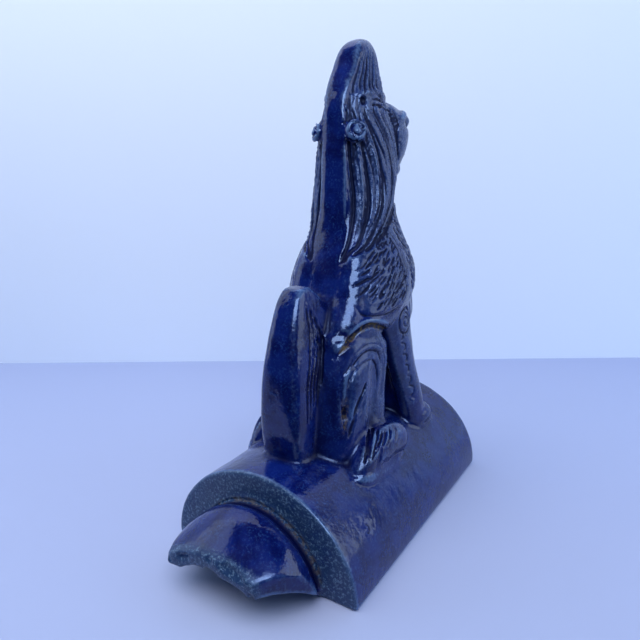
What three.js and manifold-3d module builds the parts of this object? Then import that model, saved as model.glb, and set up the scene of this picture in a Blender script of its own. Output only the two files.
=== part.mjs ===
// A glazed ceramic ridge tile with a seated beast modelled in one piece with it. The tile is a
// half barrel, open below, with a shoulder and a narrower drooping tongue at its rear end. The
// beast sits upright across the crown and looks along the tile, away from the tongue.
//
// Millimetres, +Z up. The beast faces -Y and the tongue points to +Y. The origin is on the ground
// under the middle of the whole length. The two long edges of the tile stand on the ground.
//
// The beast is symmetric about X = 0. Its points are written as (side, ahead, up): side is the
// distance from the middle plane, ahead is measured from the back of the neck towards the face,
// and up from the crown of the tile. Sizes of the beast are drawn to the height that the last row of
// MANE has, and the whole beast is scaled from that height to BEAST_HEIGHT.

import * as THREE from "three";
import { mergeVertices } from "three/addons/utils/BufferGeometryUtils.js";
import Module from "manifold-3d";

const wasm = await Module();
wasm.setup();

// The tile
const TILE_HALF_WIDTH = 65;
const TILE_RISE = 61;
const TILE_LENGTH = 190;
const TILE_WALL = 15;
const TILE_ARC_STEPS = 26;
const THROAT_LENGTH = 26;

// The tongue, which the next tile laps over
const TONGUE_LENGTH = 39;
const TONGUE_WALL = 10;
const SHOULDER_WIDTH = 17;
const SHOULDER_WIDTH_AT_CROWN = 13;
const NECK_GROOVE_DEPTH = 4.5;
const LIP_RISE = 30;
const LIP_TO_LEFT = 33;
const LIP_TO_RIGHT = 26;
const LIP_FOOT_RISE = 17;

// The beast
const BEAST_HEIGHT = 242;
const NECK_FROM_SHOULDER = 81;

// The carving
const MANE_LOCKS = 8;
const MANE_GROOVE = 2.4;
const MANE_SWAY = 0.2;
const FUR_ROWS = 5;
const FUR_TICKS = 5;
const TAIL_GROOVES = 3;
const TOE_GROOVES = 3;
const ARM_NOTCHES = 5;

// The least rise that a corner of the surface needs to be kept
const FLAT = 0.1;

// Places that follow from the sizes above
const LENGTH = TILE_LENGTH + TONGUE_LENGTH;
const FRONT_Y = -LENGTH / 2;
const SHOULDER_Y = FRONT_Y + TILE_LENGTH;
const NECK_Y = SHOULDER_Y - NECK_FROM_SHOULDER;
const TONGUE_HALF_WIDTH = TILE_HALF_WIDTH - SHOULDER_WIDTH;
const TONGUE_RISE = TILE_RISE - SHOULDER_WIDTH_AT_CROWN;
const TONGUE_ROOT = TONGUE_WALL / 2;

// Solids

// A closed mesh as a solid for cutting and joining, turned the right way out.
function solid(geometry) {
  const bare = geometry.index ? geometry.toNonIndexed() : geometry.clone();
  bare.deleteAttribute("normal");
  bare.deleteAttribute("uv");
  const merged = mergeVertices(bare, 1e-4);
  const faces = new Uint32Array(merged.index.array);
  const points = merged.attributes.position.array;
  if (signedVolume(points, faces) < 0) {
    for (let i = 0; i < faces.length; i += 3) {
      [faces[i + 1], faces[i + 2]] = [faces[i + 2], faces[i + 1]];
    }
  }
  return new wasm.Manifold(
    new wasm.Mesh({ numProp: 3, vertProperties: points, triVerts: faces }),
  );
}

function signedVolume(points, faces) {
  const corner = (i) => new THREE.Vector3().fromArray(points, 3 * faces[i]);
  let six = 0;
  for (let i = 0; i < faces.length; i += 3) {
    six += corner(i).dot(corner(i + 1).cross(corner(i + 2)));
  }
  return six / 6;
}

// A skin over rings of points, each ring closed and all of one count, with a fan on each end.
function loft(rings) {
  const count = rings[0].length;
  const middle = (ring) =>
    ring.reduce((sum, p) => sum.add(p), new THREE.Vector3()).divideScalar(count);
  const points = [...rings.flat(), middle(rings[0]), middle(rings.at(-1))];
  const firstHub = rings.length * count;
  const lastHub = firstHub + 1;
  const lastRing = (rings.length - 1) * count;
  const faces = [];
  for (let i = 0; i < count; i++) {
    const next = (i + 1) % count;
    for (let r = 0; r < rings.length - 1; r++) {
      const a = r * count;
      const b = a + count;
      faces.push(a + i, a + next, b + next, a + i, b + next, b + i);
    }
    faces.push(firstHub, next, i, lastHub, lastRing + i, lastRing + next);
  }
  const geometry = new THREE.BufferGeometry().setFromPoints(points);
  geometry.setIndex(faces);
  return geometry;
}

// The row at a share t of the way through rows of numbers, on a smooth curve through them.
function rowAt(rows, t) {
  const place = THREE.MathUtils.clamp(t, 0, 1) * (rows.length - 1);
  const i = Math.min(rows.length - 2, Math.floor(place));
  const u = place - i;
  const row = (j) => rows[THREE.MathUtils.clamp(j, 0, rows.length - 1)];
  return rows[0].map((_, column) => {
    const [a, b, c, d] = [i - 1, i, i + 1, i + 2].map((j) => row(j)[column]);
    const slopeB = (c - a) / 2;
    const slopeC = (d - b) / 2;
    const bend = (b - c) * 2 + slopeB + slopeC;
    const lean = (c - b) * 3 - 2 * slopeB - slopeC;
    return ((bend * u + lean) * u + slopeB) * u + b;
  });
}

function between(rows, steps) {
  return Array.from({ length: steps + 1 }, (_, k) => rowAt(rows, k / steps));
}

// A point of the beast in the part's frame.
function beastPoint(side, ahead, up) {
  return new THREE.Vector3(side * SCALE, NECK_Y - ahead * SCALE, TILE_RISE + up * SCALE);
}

function superellipse(angle, power) {
  const c = Math.cos(angle);
  const s = Math.sin(angle);
  return [Math.sign(c) * Math.abs(c) ** (2 / power), Math.sign(s) * Math.abs(s) ** (2 / power)];
}

// A limb along a path. Each row is
// [side, ahead, up, half width, reach to the front, reach to the back].
function limb(rows, steps, power = 2.2, around = 10) {
  const stations = between(rows, steps);
  const rings = stations.map((row, k) => {
    const [side, ahead, up, half, front, back] = row;
    const before = stations[Math.max(0, k - 1)];
    const after = stations[Math.min(steps, k + 1)];
    const run = new THREE.Vector2(after[1] - before[1], after[2] - before[2]).normalize();
    return Array.from({ length: around }, (_, i) => {
      const [c, s] = superellipse((2 * Math.PI * i) / around, power);
      const reach = s * (s > 0 ? front : back);
      return beastPoint(side + c * half, ahead + reach * run.y, up - reach * run.x);
    });
  });
  return solid(loft(rings));
}

// A body of level rings. Each row is [up, back, front, half width]. The rear half of a ring can be
// squarer than the front half.
function stack(rows, steps, power = 2.3, around = 20, rearPower = power) {
  const rings = between(rows, steps).map(([up, back, front, half]) =>
    Array.from({ length: around }, (_, i) => {
      const [c, s] = superellipse((2 * Math.PI * i) / around, i * 2 < around ? power : rearPower);
      return beastPoint(c * half, (back + front) / 2 + (s * (front - back)) / 2, up);
    }),
  );
  return solid(loft(rings));
}

// A long thin blade with pointed ends, for cutting one groove. It runs from one point of the
// beast to another and its depth lies along the given direction.
function blade(from, to, width, depth, inward) {
  const start = beastPoint(...from);
  const end = beastPoint(...to);
  const run = new THREE.Vector3().subVectors(end, start);
  const geometry = new THREE.OctahedronGeometry(1);
  geometry.scale((width / 2) * SCALE, run.length() / 2, depth * SCALE);
  const long = run.clone().normalize();
  const deep = new THREE.Vector3(inward[0], -inward[1], inward[2]);
  const wide = new THREE.Vector3().crossVectors(long, deep).normalize();
  deep.crossVectors(wide, long);
  geometry.applyMatrix4(new THREE.Matrix4().makeBasis(wide, long, deep));
  geometry.translate(...start.add(end).divideScalar(2));
  return solid(geometry);
}

// A round-bottomed channel along points of the beast.
function channel(points, radius, steps) {
  const path = new THREE.CatmullRomCurve3(points.map((p) => beastPoint(...p)));
  const section = new THREE.Shape();
  section.absarc(0, 0, radius * SCALE, 0, 2 * Math.PI);
  return solid(
    new THREE.ExtrudeGeometry(section, { steps, extrudePath: path, curveSegments: 3 }),
  );
}

// A curl: a raised disc with a ring groove and a boss, facing out along a direction.
function curl(center, radius, height, outward) {
  const profile = [
    [0, -height],
    [1, -height],
    [1, 0.3 * height],
    [0.8, height],
    [0.62, 0.1 * height],
    [0.35, 0.1 * height],
    [0, 0.9 * height],
  ].map(([r, z]) => new THREE.Vector2(r * (r <= 1 ? radius : 1) * SCALE, z * SCALE));
  const geometry = new THREE.LatheGeometry(profile, 8);
  const facing = new THREE.Vector3(outward[0], -outward[1], outward[2]).normalize();
  geometry.applyQuaternion(new THREE.Quaternion().setFromUnitVectors(new THREE.Vector3(0, 1, 0), facing));
  geometry.translate(...beastPoint(...center));
  return solid(geometry);
}

function joined(pieces) {
  return pieces.reduce((sum, piece) => sum.add(piece));
}

function bothSides(piece) {
  return piece.add(piece.mirror([1, 0, 0]));
}

// Tile

// A half ring across the tile: an outer arc and back along an inner arc.
function archRing(y, outerHalf, outerRise, innerHalf, innerRise) {
  const arc = (half, rise, k) => {
    const angle = (Math.PI * k) / TILE_ARC_STEPS;
    return new THREE.Vector3(half * Math.cos(angle), y, rise * Math.sin(angle));
  };
  const steps = Array.from({ length: TILE_ARC_STEPS + 1 }, (_, k) => k);
  return [
    ...steps.map((k) => arc(outerHalf, outerRise, k)),
    ...steps.toReversed().map((k) => arc(innerHalf, innerRise, k)),
  ];
}

// A skin over half rings, with a strip across each end.
function archLoft(rings) {
  const count = rings[0].length;
  const faces = [];
  for (let r = 0; r < rings.length - 1; r++) {
    for (let i = 0; i < count; i++) {
      const next = (i + 1) % count;
      const a = r * count;
      const b = a + count;
      faces.push(a + i, a + next, b + next, a + i, b + next, b + i);
    }
  }
  const last = (rings.length - 1) * count;
  for (let i = 0; i < count / 2 - 1; i++) {
    const [p, q, s, t] = [i, i + 1, count - 2 - i, count - 1 - i];
    faces.push(p, s, q, p, t, s, last + p, last + q, last + s, last + p, last + s, last + t);
  }
  const geometry = new THREE.BufferGeometry().setFromPoints(rings.flat());
  geometry.setIndex(faces);
  return solid(geometry);
}

function tileBarrel() {
  const inner = [TILE_HALF_WIDTH - TILE_WALL, TILE_RISE - TILE_WALL];
  const neck = [TONGUE_HALF_WIDTH - NECK_GROOVE_DEPTH, TONGUE_RISE - NECK_GROOVE_DEPTH];
  const throat = neck.map((radius) => radius - TONGUE_WALL);
  return archLoft([
    archRing(FRONT_Y, TILE_HALF_WIDTH, TILE_RISE, ...inner),
    archRing(SHOULDER_Y - THROAT_LENGTH, TILE_HALF_WIDTH, TILE_RISE, ...inner),
    archRing(SHOULDER_Y, TILE_HALF_WIDTH, TILE_RISE, ...throat),
  ]);
}

// The tongue leaves the shoulder at a groove, swells, then droops to a low flat lip. It is rooted
// in the shoulder by TONGUE_ROOT.
function tongueArch() {
  const rows = [
    [-TONGUE_ROOT, 0, 0],
    [0.07 * TONGUE_LENGTH, 0, 0],
    [0.16 * TONGUE_LENGTH, 0.4, 0.02],
    [0.4 * TONGUE_LENGTH, 0.8, 0.15],
    [0.65 * TONGUE_LENGTH, 0.95, 0.44],
    [0.85 * TONGUE_LENGTH, 1, 0.75],
    [TONGUE_LENGTH, 1, 1],
  ];
  const rings = rows.map(([out, swell, droop]) => {
    const less = NECK_GROOVE_DEPTH * (1 - swell);
    const rise = THREE.MathUtils.lerp(TONGUE_RISE, LIP_RISE, droop) - less;
    const half = TONGUE_HALF_WIDTH - less;
    return archRing(SHOULDER_Y + out, half, rise, half - TONGUE_WALL, rise - TONGUE_WALL);
  });
  return archLoft(rings);
}

// The plan of the tongue, which narrows to the lip. The lip is a little hollow and uneven, and
// reaches further to the beast's left than to its right.
function tonguePlan() {
  const plan = new THREE.Shape();
  plan.moveTo(-TILE_HALF_WIDTH, -2 * TONGUE_ROOT);
  plan.lineTo(TILE_HALF_WIDTH, -2 * TONGUE_ROOT);
  plan.lineTo(TONGUE_HALF_WIDTH, 0);
  plan.quadraticCurveTo(TONGUE_HALF_WIDTH * 0.86, TONGUE_LENGTH * 0.5, LIP_TO_LEFT, TONGUE_LENGTH);
  plan.quadraticCurveTo(LIP_TO_LEFT * 0.4, TONGUE_LENGTH * 0.95, 0, TONGUE_LENGTH * 0.98);
  plan.quadraticCurveTo(-LIP_TO_RIGHT * 0.6, TONGUE_LENGTH * 0.99, -LIP_TO_RIGHT, TONGUE_LENGTH * 0.97);
  plan.quadraticCurveTo(-TONGUE_HALF_WIDTH * 0.84, TONGUE_LENGTH * 0.5, -TONGUE_HALF_WIDTH, 0);
  plan.closePath();
  const geometry = new THREE.ExtrudeGeometry(plan, {
    depth: TILE_RISE,
    bevelEnabled: false,
    curveSegments: 5,
  });
  geometry.translate(0, SHOULDER_Y, 0);
  return solid(geometry);
}

// What is taken off below the tongue, so that its feet rise clear of the ground.
function tongueUndercut() {
  const profile = new THREE.Shape();
  profile.moveTo(0, -TONGUE_ROOT);
  profile.lineTo(0, 0);
  profile.quadraticCurveTo(TONGUE_LENGTH * 0.4, LIP_FOOT_RISE * 0.95, TONGUE_LENGTH * 0.8, LIP_FOOT_RISE);
  profile.lineTo(TONGUE_LENGTH + TONGUE_ROOT, LIP_FOOT_RISE * 0.9);
  profile.lineTo(TONGUE_LENGTH + TONGUE_ROOT, -TONGUE_ROOT);
  profile.closePath();
  const wedge = new THREE.ExtrudeGeometry(profile, {
    depth: 2 * TILE_HALF_WIDTH,
    bevelEnabled: false,
    curveSegments: 6,
  });
  wedge.rotateX(Math.PI / 2).rotateZ(Math.PI / 2);
  wedge.translate(-TILE_HALF_WIDTH, SHOULDER_Y, 0);
  return solid(wedge);
}

function tongue() {
  return tongueArch().intersect(tonguePlan()).subtract(tongueUndercut());
}

// Body

// Each row is [up, back, front, half width].
const TRUNK = [
  [66, -29, 60, 31.5],
  [74, -26, 70, 35.5],
  [84, -19, 76, 37.5],
  [95, -13, 79.5, 37.5],
  [107, -9, 78, 35],
  [119, -4, 72.5, 29.5],
  [131, 0, 67, 24.5],
  [144, 3, 64, 21.5],
  [156, 5, 61, 20],
];

const CHEST_POWER = 2.1;
const BACK_POWER = 2.8;

function trunk() {
  return stack(TRUNK, 9, CHEST_POWER, 20, BACK_POWER);
}

function throat() {
  return stack(
    [
      [112, 6, 68, 22],
      [138, 4, 64.5, 22.5],
      [160, 5, 62, 20],
      [180, 6, 64, 18],
      [200, 8, 60, 15],
    ],
    4,
    2.2,
  );
}

// A point on the side of the trunk at a height and at an angle from the flank (0) to the middle
// of the chest (a quarter turn).
function chestPoint(up, angle, sink) {
  const share = (up - TRUNK[0][0]) / (TRUNK.at(-1)[0] - TRUNK[0][0]);
  const [height, back, front, half] = rowAt(TRUNK, share);
  const [c, s] = superellipse(angle, angle > 0 ? CHEST_POWER : BACK_POWER);
  return [c * (half - sink), (back + front) / 2 + (s * (front - back - 2 * sink)) / 2, height];
}

// Rows of short cuts over shoulder and chest. Behind a seam they slope back and down, ahead of it
// they slope forward and down.
function furCuts() {
  const cuts = [];
  for (let row = 0; row < FUR_ROWS; row++) {
    for (let k = 0; k < FUR_TICKS; k++) {
      const up = 124 - row * 8;
      const spread = Math.min(1, 0.55 + row * 0.15);
      const angle = 1.25 - (k / (FUR_TICKS - 1)) * 1.75 * spread;
      const lean = k < 2 ? 0.16 : -0.22;
      const tip = chestPoint(up, angle, 0.2);
      const root = chestPoint(up - (k < 2 ? 9 : 7), angle + lean, 0.2);
      cuts.push(blade(tip, root, 2.6, 1.7, [-Math.cos(angle), -Math.sin(angle), 0]));
    }
  }
  return bothSides(joined(cuts));
}

function rump() {
  return stack(
    [
      [-26, -45, 8, 35],
      [0, -44, 9, 34.5],
      [20, -41, 10, 34],
      [40, -38, 13, 33.5],
      [54, -35, 17, 33],
      [64, -31, 18, 31],
      [72, -25, 14, 26],
    ],
    6,
    2.4,
    16,
  );
}

// Mane and crest

// Each row is [up, back, front, half width, half width of the smooth band down the rear edge].
const MANE = [
  [110, -4, 6, 15, 11],
  [118, 0, 20, 24, 10],
  [130, 1, 38, 27.5, 9.4],
  [143, 2, 52, 28, 8.8],
  [158, 2.5, 60, 27, 8.5],
  [174, 3, 62, 25.5, 8.3],
  [188, 3.5, 60, 23, 7.8],
  [200, 4, 58, 18.5, 7.5],
  [211, 7, 57, 15, 8.4],
  [223, 15, 54, 12.6, 8.8],
  [233, 20.5, 50.5, 10, 7.8],
  [239, 26, 46.5, 7.2, 6],
  [242, 34, 42.5, 3.8, 3.2],
];

// How much larger the beast is than it is drawn.
const SCALE = BEAST_HEIGHT / MANE.at(-1)[0];

// The section is flat across the band and round from there to the front. The locks lie between
// grooves along the round part, and sway forward halfway down.
function mane() {
  const columns = 2 * MANE_LOCKS;
  const rings = between(MANE, 16).map(([up, back, front, half, band]) => {
    const sway = MANE_SWAY * Math.sin(THREE.MathUtils.clamp((up - 112) / 88, 0, 1) * Math.PI);
    const first = Math.acos(Math.min(0.98, band / half));
    const depth = (front - back) / (1 + Math.sin(first));
    const middle = front - depth;
    const last = 0.42 * Math.PI;
    const edge = Array.from({ length: columns + 1 }, (_, j) => {
      const share = j / columns;
      const swayed = share ** 1.35 + sway * Math.sin(Math.PI * share);
      const angle = -first + (first + last) * swayed;
      const cut = j % 2 ? Math.min(MANE_GROOVE / SCALE, 0.16 * half) : 0;
      return [(half - cut) * Math.cos(angle), middle + (depth - cut) * Math.sin(angle)];
    });
    const start = edge[0][1];
    const outline = [[0, start - 1.8], [band * 0.8, start - 1.2], ...edge];
    const left = outline.slice(1).toReversed().map(([x, f]) => [-x, f]);
    return [...outline, [0, front + 0.5], ...left].map(([x, f]) => beastPoint(x, f, up));
  });
  return solid(loft(rings));
}

function ears() {
  const ear = limb(
    [
      [9.5, 11, 206, 2, 3, 3],
      [11.5, 16, 206, 4, 5.5, 5.5],
      [12.5, 28, 208, 4, 5.5, 5.5],
      [11.5, 42, 209, 3.5, 3.5, 3.5],
      [8, 51, 208, 2, 1.5, 1.5],
    ],
    6,
    2,
    8,
  );
  const hollow = blade([14.5, 9, 206], [16.5, 26, 207], 8, 4, [-1, 0, 0]);
  const groove = blade([17.5, 24, 208], [14, 48, 210], 2, 2.4, [-1, 0, 0]);
  return bothSides(ear.subtract(hollow).subtract(groove));
}

function maneCurls() {
  return bothSides(curl([14, 6, 187], 6.6, 2.4, [0.7, -0.7, 0.05]));
}

// Head

const EYE_RADIUS = 4.4;

// Each row is [up, back, front, half width].
function head() {
  const skull = stack(
    [
      [160, 46, 70, 10],
      [167, 44, 77, 14.5],
      [176, 42, 82, 17.5],
      [186, 40, 84, 19],
      [195, 38, 82, 18],
      [203, 38, 76, 14],
      [207, 40, 66, 9],
    ],
    7,
    2.2,
    14,
  );
  const muzzle = stack(
    [
      [157, 58, 72, 6],
      [160.5, 56, 81, 9],
      [165, 56, 85, 10.5],
      [169, 56, 83.5, 10.5],
      [172, 56, 88, 11.5],
      [178, 56, 90.5, 12],
      [185, 56, 90.5, 11],
      [192, 56, 89.5, 10.5],
      [197, 56, 86.5, 10.5],
      [200, 56, 79, 9],
    ],
    10,
    2.6,
    12,
  );
  const brow = limb(
    [
      [5, 78, 198, 3, 3, 3],
      [10, 74, 199.5, 4, 4, 4],
      [15, 66.5, 199, 3.5, 4, 4],
      [17, 59, 196.5, 2, 2, 2],
    ],
    6,
    2,
    8,
  );
  const eyeball = new THREE.SphereGeometry(EYE_RADIUS * SCALE, 8, 6);
  eyeball.translate(...beastPoint(13.5, 71.5, 196));
  const mouth = blade([13.5, 70, 166.5], [8, 90, 171], 3, 4, [-1, -0.3, 0]);
  const nostril = blade([9, 86, 188], [5, 94, 190], 4, 3, [-1, -0.5, 0]);
  const face = skull.add(muzzle).add(bothSides(brow.add(solid(eyeball))));
  return face.subtract(bothSides(mouth.add(nostril)));
}

// Tail

// The tail stands up behind the rump like a slab. It has a smooth band behind and combed hair on
// its sides.
function tail() {
  const slab = stack(
    [
      [-6, -57, -30, 14.5],
      [14, -60.5, -30, 15],
      [34, -61, -28, 14.5],
      [54, -59.5, -22, 13.5],
      [70, -56.5, -14, 12],
      [84, -52.5, -16, 10],
      [94, -48, -26, 8.5],
      [99.5, -43, -33, 6.5],
    ],
    9,
    4.5,
    16,
  );
  const grooves = Array.from({ length: TAIL_GROOVES }, (_, k) => {
    const share = k / (TAIL_GROOVES - 1);
    const top = [9.5, -40 + 8 * share, 90 - 12 * share];
    const bottom = [13.5, -36 + 14 * share, 30 + 14 * share];
    return blade(top, bottom, 3.2, 2.4, [-1, 0, 0]);
  });
  return slab.subtract(bothSides(joined(grooves)));
}

// Legs

// The knee and shin stand out from the haunch. A groove in the shape of an arch runs over them.
function hindLeg() {
  const knee = limb(
    [
      [20, -8, 52, 13, 12, 16],
      [23, 0, 56, 11, 11, 14],
      [25, 9, 55, 9, 9, 11],
      [26, 16, 52, 6, 5, 6],
    ],
    5,
  );
  const shin = limb(
    [
      [24, 6, 63, 6, 6, 6],
      [25, 7, 55, 9, 12.5, 12],
      [25, 6, 42, 9.3, 12, 14],
      [25.5, 4, 24, 9.3, 11, 14],
      [28, 0, 6, 9.3, 11, 14],
      [31, -5, -12, 10, 14, 14],
    ],
    7,
  );
  const paw = limb(
    [
      [37, -35, -16, 4.5, 4, 5],
      [38, -28, -11, 7, 8, 9],
      [38, -14, -4, 9.5, 13, 13],
      [38.5, 2, -4, 10, 12, 13],
      [39.5, 13, -7, 9.5, 9, 12],
      [40, 20, -12, 6.5, 5, 8],
    ],
    6,
  );
  const toes = Array.from({ length: TOE_GROOVES }, (_, k) =>
    blade([47 - k, -28 + 13 * k, -17 + 3 * k], [44 - 2 * k, -10 + 10 * k, 9 - k], 3, 4, [-0.9, 0, -0.4]),
  );
  const arch = channel(
    [
      [27, -30, 22],
      [27.3, -28, 44],
      [30, -21.5, 54],
      [32.8, -11, 58],
      [33.8, -1, 55.5],
      [34.2, 7, 48],
      [34.2, 6, 36],
      [34, 3, 24],
    ],
    2.1,
    10,
  );
  const slit = blade([34, -10, 40], [33, -28, 12], 4, 4, [-0.9, 0.4, 0]);
  return { limb: joined([knee, shin, paw]), cuts: joined([...toes, arch, slit]) };
}

function hindQuarters() {
  const leg = hindLeg();
  return rump().add(bothSides(leg.limb)).subtract(bothSides(leg.cuts));
}

function foreLeg() {
  const leg = limb(
    [
      [25, 30, 94, 10, 20, 16],
      [26, 33, 78, 10, 19, 17],
      [27.5, 38, 58, 9, 15.5, 15],
      [29, 44, 34, 8.5, 12, 14],
      [32, 51.5, 12, 8.5, 11, 12],
      [34, 56, -6, 9, 11, 10],
      [34, 57, -20, 9, 12, 10],
    ],
    8,
  );
  const paw = limb(
    [
      [35, 50, -12, 7, 6, 6],
      [35.5, 58, -8, 9, 8, 9],
      [36, 66, -9, 8.5, 6, 9],
      [36, 72, -13, 6, 4, 6],
    ],
    5,
  );
  const notches = Array.from({ length: ARM_NOTCHES }, (_, k) => {
    const share = k / (ARM_NOTCHES - 1);
    const [side, ahead, up] = [36 + 2.6 * share, 26 + 17 * share, 57 - 45 * share];
    return blade([side, ahead - 3, up + 3], [side, ahead + 6, up - 4], 3.4, 3, [-1, 0.2, 0]);
  });
  return leg.add(paw).subtract(joined(notches)).add(curl([33.5, 37, 68], 7.5, 2.4, [1, -0.2, 0]));
}

// The wall between the forelegs, under the chest.
function breastWall() {
  return stack(
    [
      [-22, 45, 62, 31],
      [8, 43, 60, 28],
      [32, 41, 60, 26],
      [50, 39, 64, 28],
      [66, 37, 70, 31],
      [82, 38, 70, 30],
    ],
    6,
    2.8,
    14,
  );
}

function beast() {
  const body = joined([trunk(), throat(), breastWall(), bothSides(foreLeg())]).subtract(furCuts());
  return joined([body, mane(), maneCurls(), ears(), head(), tail(), hindQuarters()]);
}

// The space inside the tile and below it, with half the wall, which no part of the beast enters.
function insideOfTile() {
  const half = TILE_HALF_WIDTH - TILE_WALL / 2;
  const rise = TILE_RISE - TILE_WALL / 2;
  const arc = (y) =>
    Array.from({ length: TILE_ARC_STEPS + 1 }, (_, k) => {
      const angle = (Math.PI * k) / TILE_ARC_STEPS;
      return new THREE.Vector3(half * Math.cos(angle), y, rise * Math.sin(angle));
    });
  return solid(loft([arc(FRONT_Y), arc(SHOULDER_Y)]));
}

// The whole ornament, without the slivers that are flatter than FLAT.
function ridgeTile() {
  return joined([tileBarrel(), tongue(), beast().subtract(insideOfTile())]).simplify(FLAT);
}

function meshOf(piece, name, material) {
  const { vertProperties, triVerts } = piece.getMesh();
  const geometry = new THREE.BufferGeometry();
  geometry.setAttribute("position", new THREE.BufferAttribute(vertProperties, 3));
  geometry.setIndex(new THREE.BufferAttribute(triVerts, 1));
  geometry.computeVertexNormals();
  const mesh = new THREE.Mesh(geometry, material);
  mesh.name = name;
  return mesh;
}

const glaze = new THREE.MeshStandardMaterial({ color: 0x1b2a63, roughness: 0.25, metalness: 0 });

const ornament = new THREE.Group();
ornament.add(meshOf(ridgeTile(), "ridge_beast_tile", glaze));

export default ornament;
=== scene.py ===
# A glazed ridge tile with a seated beast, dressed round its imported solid. The solid's facets are
# rounded, the fine carving is cut into it as a distance field, and the result is meshed and glazed.
#
# Lengths are millimetres until a mesh is made. A point of the beast is (side, ahead, up): side from
# the middle plane, ahead from the back of the neck towards the face, up from the tile's crown.

import math
import bpy
import numpy as np
import openvdb
from mathutils import Matrix, Vector


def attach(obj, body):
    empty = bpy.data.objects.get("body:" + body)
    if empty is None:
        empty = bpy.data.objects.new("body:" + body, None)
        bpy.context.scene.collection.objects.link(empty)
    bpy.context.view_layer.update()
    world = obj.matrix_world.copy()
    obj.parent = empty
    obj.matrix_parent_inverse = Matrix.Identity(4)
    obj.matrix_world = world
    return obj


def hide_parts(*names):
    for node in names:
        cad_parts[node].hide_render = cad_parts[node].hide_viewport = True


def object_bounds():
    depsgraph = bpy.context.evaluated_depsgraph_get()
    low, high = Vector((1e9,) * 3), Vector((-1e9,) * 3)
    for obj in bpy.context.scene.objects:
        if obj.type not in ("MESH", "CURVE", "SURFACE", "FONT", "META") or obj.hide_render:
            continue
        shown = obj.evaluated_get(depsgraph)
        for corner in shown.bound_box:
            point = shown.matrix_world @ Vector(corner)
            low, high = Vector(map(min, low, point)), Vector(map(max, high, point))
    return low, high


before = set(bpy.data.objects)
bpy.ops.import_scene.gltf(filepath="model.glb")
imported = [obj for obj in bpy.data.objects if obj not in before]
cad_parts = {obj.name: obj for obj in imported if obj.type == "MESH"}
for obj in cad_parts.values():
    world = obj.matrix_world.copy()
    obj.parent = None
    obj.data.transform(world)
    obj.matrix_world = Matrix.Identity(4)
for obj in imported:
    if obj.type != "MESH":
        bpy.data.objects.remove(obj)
cad_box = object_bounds()

NODE = "ridge_beast_tile"
MM = 0.001

# Places in the frame: the tile's crown, its rear face, the end of its tongue and the back of the neck
TILE_RISE = 61.0
SHOULDER_Y = 75.5
TONGUE_END_Y = 114.5
NECK_Y = -5.5

# The distance field: pitch of the lattice, room round the form, and how far the distances reach
VOXEL = 0.7
MARGIN = 5.0
BAND = 8.0

# Facets that meet at less than this angle are one curved surface
CREASE_DEGREES = 40.0
FACET_BLUR = 1.0

# The glaze fills creases out to this blur of the form, less this depth
GLAZE_BLUR = 2.2
GLAZE_DEPTH = 0.12

TRIANGLES = 190000
SEED = 7


# The solid as a smooth skin

def welded(mesh):
    """The corners and triangles of a mesh in millimetres, with equal points joined."""
    mesh.calc_loop_triangles()
    points = np.empty(3 * len(mesh.vertices))
    mesh.vertices.foreach_get("co", points)
    faces = np.empty(3 * len(mesh.loop_triangles), np.int32)
    mesh.loop_triangles.foreach_get("vertices", faces)
    rounded = np.round(points.reshape(-1, 3) / MM, 3)
    points, index = np.unique(rounded, axis=0, return_inverse=True)
    faces = index.reshape(-1)[faces].reshape(-1, 3)
    keep = (faces[:, 0] != faces[:, 1]) & (faces[:, 1] != faces[:, 2]) & (faces[:, 2] != faces[:, 0])
    return points, faces[keep]


def unit(v):
    """Vectors of length one. A zero vector stays zero."""
    return v / np.maximum(np.linalg.norm(v, axis=-1, keepdims=True), 1e-12)


def corner_normals(points, faces, crease):
    """A normal for each corner, shared with the neighbours that meet it at less than the crease angle."""
    p = points[faces]
    across = np.cross(p[:, 1] - p[:, 0], p[:, 2] - p[:, 0])
    flat = unit(across)
    weight = np.empty(faces.shape)
    for k in range(3):
        a = unit(p[:, (k + 1) % 3] - p[:, k])
        b = unit(p[:, (k + 2) % 3] - p[:, k])
        weight[:, k] = np.arccos(np.clip((a * b).sum(1), -1, 1))
    order = np.argsort(faces.reshape(-1), kind="stable")
    starts = np.searchsorted(faces.reshape(-1)[order], np.arange(len(points) + 1))
    normals = np.empty((faces.size, 3))
    limit = math.cos(math.radians(crease))
    for v in range(len(points)):
        corners = order[starts[v]:starts[v + 1]]
        own = flat[corners // 3]
        near = (own @ own.T > limit) * weight.reshape(-1)[corners]
        normals[corners] = near @ own
    return unit(normals).reshape(-1, 3, 3)


def curved(points, faces, normals, level=4):
    """Each triangle as a curved patch that leaves its corners square to their normals."""
    p = points[faces]
    third = {}
    for i in range(3):
        for j in range(3):
            if i != j:
                run = p[:, j] - p[:, i]
                lift = (run * normals[:, i]).sum(1, keepdims=True) * normals[:, i]
                third[i, j] = (2 * p[:, i] + p[:, j] - lift) / 3
    edge = sum(third.values()) / 6
    middle = edge + (edge - p.mean(1)) / 2
    shares = [(i, j) for i in range(level + 1) for j in range(level + 1 - i)]
    at = {s: n for n, s in enumerate(shares)}
    grid = []
    for i, j in shares:
        u, v = i / level, j / level
        w = 1 - u - v
        b = (w, u, v)
        spot = sum(b[k] ** 3 * p[:, k] for k in range(3)) + 6 * u * v * w * middle
        spot = spot + sum(3 * b[i2] ** 2 * b[j2] * third[i2, j2] for i2, j2 in third)
        grid.append(spot)
    small = []
    for i, j in shares:
        if i + j < level:
            small.append((at[i, j], at[i + 1, j], at[i, j + 1]))
        if i + j < level - 1:
            small.append((at[i + 1, j], at[i + 1, j + 1], at[i, j + 1]))
    grid = np.stack(grid, 1)
    count = grid.shape[1]
    base = (np.arange(len(faces)) * count)[:, None, None]
    return grid.reshape(-1, 3), (base + np.array(small)[None]).reshape(-1, 3)


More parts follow.
